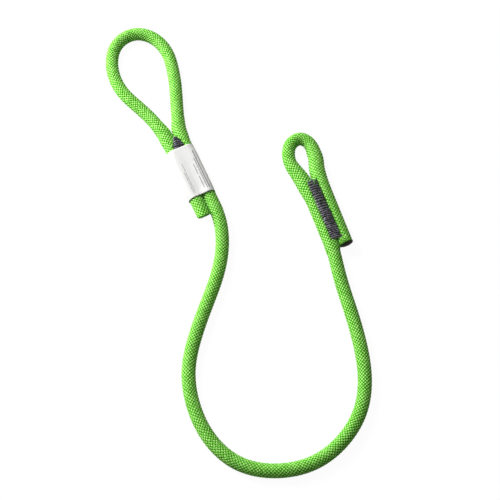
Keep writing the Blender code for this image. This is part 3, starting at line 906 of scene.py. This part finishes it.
def label_point(turn, radius, squareness, dip):
    """A point of the film's outline: two blunt half rounds joined by runs that sink between the ropes."""
    side = 1 if turn < 0.5 else -1
    share = (turn % 0.5) * 2
    if share < LABEL_ROUND_SHARE:
        angle = math.pi * (share / LABEL_ROUND_SHARE - 0.5)
        outward = math.cos(angle) ** (2 / squareness)
        upward = math.copysign(abs(math.sin(angle)) ** (2 / squareness), angle)
        return side * (HALF_SPACING + radius * outward), side * radius * upward
    across = 1 - 2 * (share - LABEL_ROUND_SHARE) / (1 - LABEL_ROUND_SHARE)
    sink = dip * (0.5 + 0.5 * math.cos(math.pi * across))
    return side * across * HALF_SPACING, side * (radius - sink)


def lay_rule_places(made, grid):
    """Tells the film's material where its rules lie: metres to the right and towards the tip, on top only."""
    flat = grid.reshape(-1, 3)
    layer = made.data.uv_layers["run"]
    rows = np.zeros((len(made.data.loops), 2), np.float32)
    for loop in made.data.loops:
        tipward, right, above = flat[loop.vertex_index]
        rows[loop.index] = (right if above > 0 else NO_RULE, tipward)
    layer.data.foreach_set("uv", rows.ravel())


def melted_end(name, end, outward, style, material, chance):
    """A rope end sealed with heat, as rings of points round it, made lumpy. style is CUT_END or LIP_END."""
    outward = outward / np.linalg.norm(outward)
    side = np.cross(outward, (0, 0, 1))
    up = np.cross(side, outward)
    phase = chance.uniform(0, 2 * math.pi, END_LUMPS)
    lumpiness = style["lumpiness"]
    grid = []
    along = []
    for share, out in style["outline"]:
        ring = []
        run = []
        for j in range(END_COLUMNS):
            angle = 2 * math.pi * j / END_COLUMNS
            lump = sum(math.sin((n + 2) * angle + phase[n] + out) for n in range(END_LUMPS)) / END_LUMPS
            radius = share * CROWN_RADIUS * (1 + LUMP_SIDEWAYS * lumpiness * lump)
            reach = (out + LUMP_OUTWARD * lumpiness * lump * share) * MM
            reach += style["overhang"] * share * math.sin(angle)
            outline = (1 + style["wider"]) * math.cos(angle) * side + math.sin(angle) * up
            ring.append(end + outward * reach + radius * outline)
            run.append((out + style["scorch_moved"]) * MM - style["scorch_slant"] * math.cos(angle))
        grid.append(ring)
        along.append(run)
    return grid_object(name, np.array(grid), material, np.array(along), capped=True)


def camera():
    """The camera, where the photograph was taken from."""
    made = bpy.data.cameras.new("camera")
    made.lens = CAMERA_LENS
    made.sensor_width = CAMERA_SENSOR
    made.shift_x = -CAMERA_SHIFT
    made.shift_y = CAMERA_SHIFT
    holder = bpy.data.objects.new("camera", made)
    bpy.context.scene.collection.objects.link(holder)
    aim = Vector((*TABLE_ORIGIN, 0))
    back = Vector((0, -math.cos(CAMERA_ELEVATION), math.sin(CAMERA_ELEVATION)))
    holder.location = aim + back * CAMERA_DISTANCE
    holder.rotation_euler = (math.pi / 2 - CAMERA_ELEVATION, 0, 0)
    bpy.context.scene.camera = holder


def lamp(name, place, size, watts):
    """A soft round lamp that shines at the middle of the table."""
    made = bpy.data.lights.new(name, "AREA")
    made.shape = "DISK"
    made.size = size
    made.energy = watts
    holder = bpy.data.objects.new(name, made)
    holder.location = place
    holder.rotation_mode = "QUATERNION"
    holder.rotation_quaternion = (-Vector(place)).to_track_quat("-Z", "Y")
    bpy.context.scene.collection.objects.link(holder)


def studio():
    """A white floor, two soft lamps from the left, one from above and an even surround that looks white."""
    bpy.ops.mesh.primitive_plane_add(size=FLOOR_SIZE)
    floor = bpy.context.object
    floor.name = "floor"
    floor.data.materials.append(floor_material())
    for settings in LAMPS:
        lamp(*settings)
    world = bpy.data.worlds.new("surround")
    bpy.context.scene.world = world
    world.use_nodes = True
    tree = world.node_tree
    backdrop = tree.nodes["Background"]
    backdrop.inputs["Color"].default_value = linear("#ffffff")
    shown = node(tree, "ShaderNodeMapRange", Value=looked_at(tree), To_Min=SURROUND_LIGHT, To_Max=1)
    tree.links.new(shown.outputs[0], backdrop.inputs["Strength"])
    bpy.context.scene.view_settings.view_transform = "Standard"


def put(piece, replaced):
    """The piece rides on the one body and stands in for its CAD node, which is hidden."""
    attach(piece, "root")
    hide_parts(replaced)
    return piece


def main():
    camera()
    chance = np.random.default_rng(SEED)
    rope, centres = braided_rope(rope_line(), sheath_material())
    put(rope, "rope_sheath")

    thread = thread_material()
    melted = melted_material()
    big_end_way = centres[0] - centres[END_WAY_POINTS]
    small_end_way = centres[-1] - centres[-1 - END_WAY_POINTS]
    on_rope = [
        put(small_seam("small_eye_stitching_top", 1, thread, chance), "small_eye_seam_top"),
        put(small_seam("small_eye_stitching_bottom", -1, thread, chance), "small_eye_seam_bottom"),
        put(big_seam("big_eye_stitching_top", 1, thread, chance), "big_eye_seam_top"),
        put(big_seam("big_eye_stitching_bottom", -1, thread, chance), "big_eye_seam_bottom"),
        put(label(label_material()), "label_sleeve"),
        put(
            melted_end("big_eye_cut_end", centres[0], big_end_way, CUT_END, melted, chance),
            "big_eye_end_seal",
        ),
        put(
            melted_end("small_eye_melted_end", centres[-1], small_end_way, LIP_END, melted, chance),
            "small_eye_end_seal",
        ),
    ]
    core = core_material()
    for name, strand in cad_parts.items():
        if name.startswith("core_strand"):
            strand.data.materials.clear()
            strand.data.materials.append(core)
            on_rope.append(strand)

    studio()


main()
